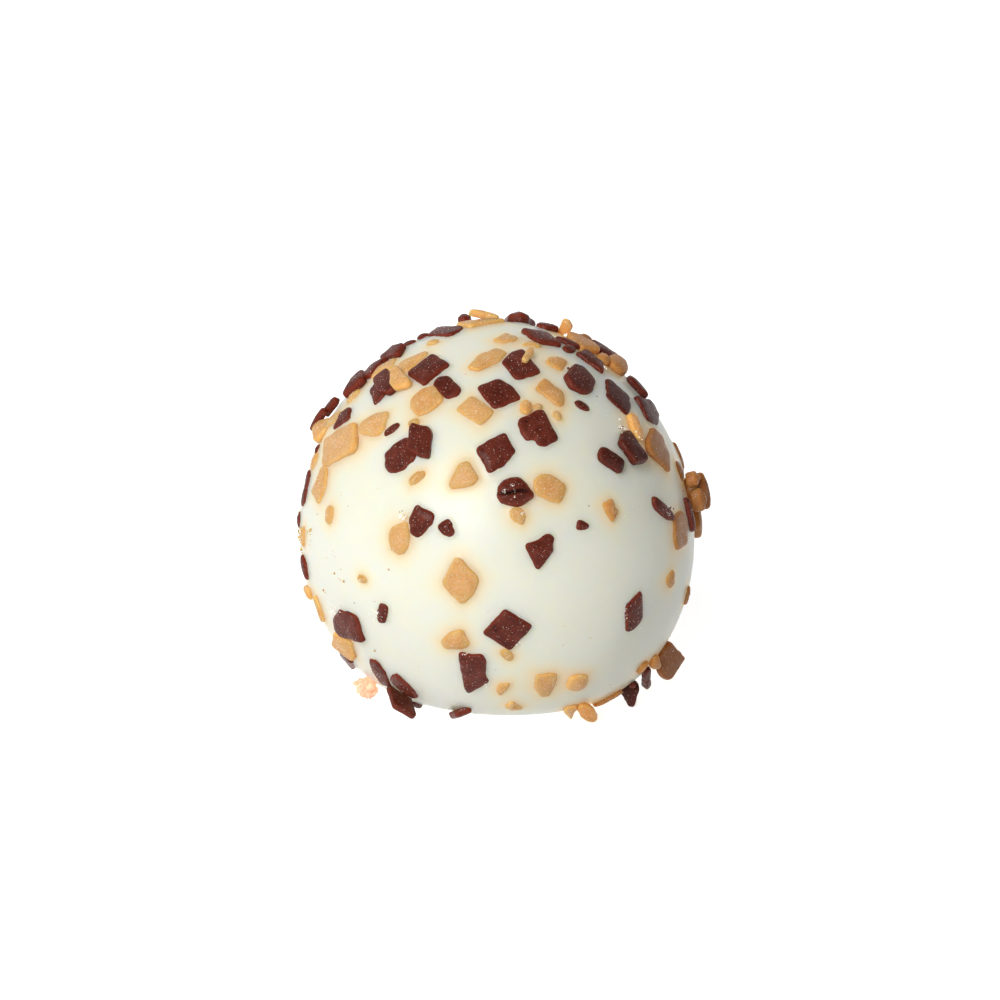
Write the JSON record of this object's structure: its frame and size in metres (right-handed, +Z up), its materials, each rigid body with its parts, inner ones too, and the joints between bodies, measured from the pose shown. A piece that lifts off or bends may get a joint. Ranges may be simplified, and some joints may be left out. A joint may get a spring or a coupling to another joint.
{
  "type": "hot chocolate sphere",
  "caption": "White chocolate ball with a scattered coat of dark chocolate and caramel flakes, thick on the crown and at the foot, settled on a small flat foot.",
  "frame": {"origin": "middle of the flat foot that the ball rests on", "axes": "+Z up, -Y towards the side that the picture shows, +X to its right"},
  "size_m": [0.0545, 0.053, 0.0515],
  "materials": {
    "white_chocolate": "satin white chocolate with soft warm stains round the caramel",
    "dark_flakes": "satin dark chocolate",
    "caramel_flakes": "sugary caramel with fine glints",
    "crumbs": "dry sugar crumb"
  },
  "bodies": {
    "root": {"coated_sphere": "white_chocolate"}
  },
  "joints": []
}
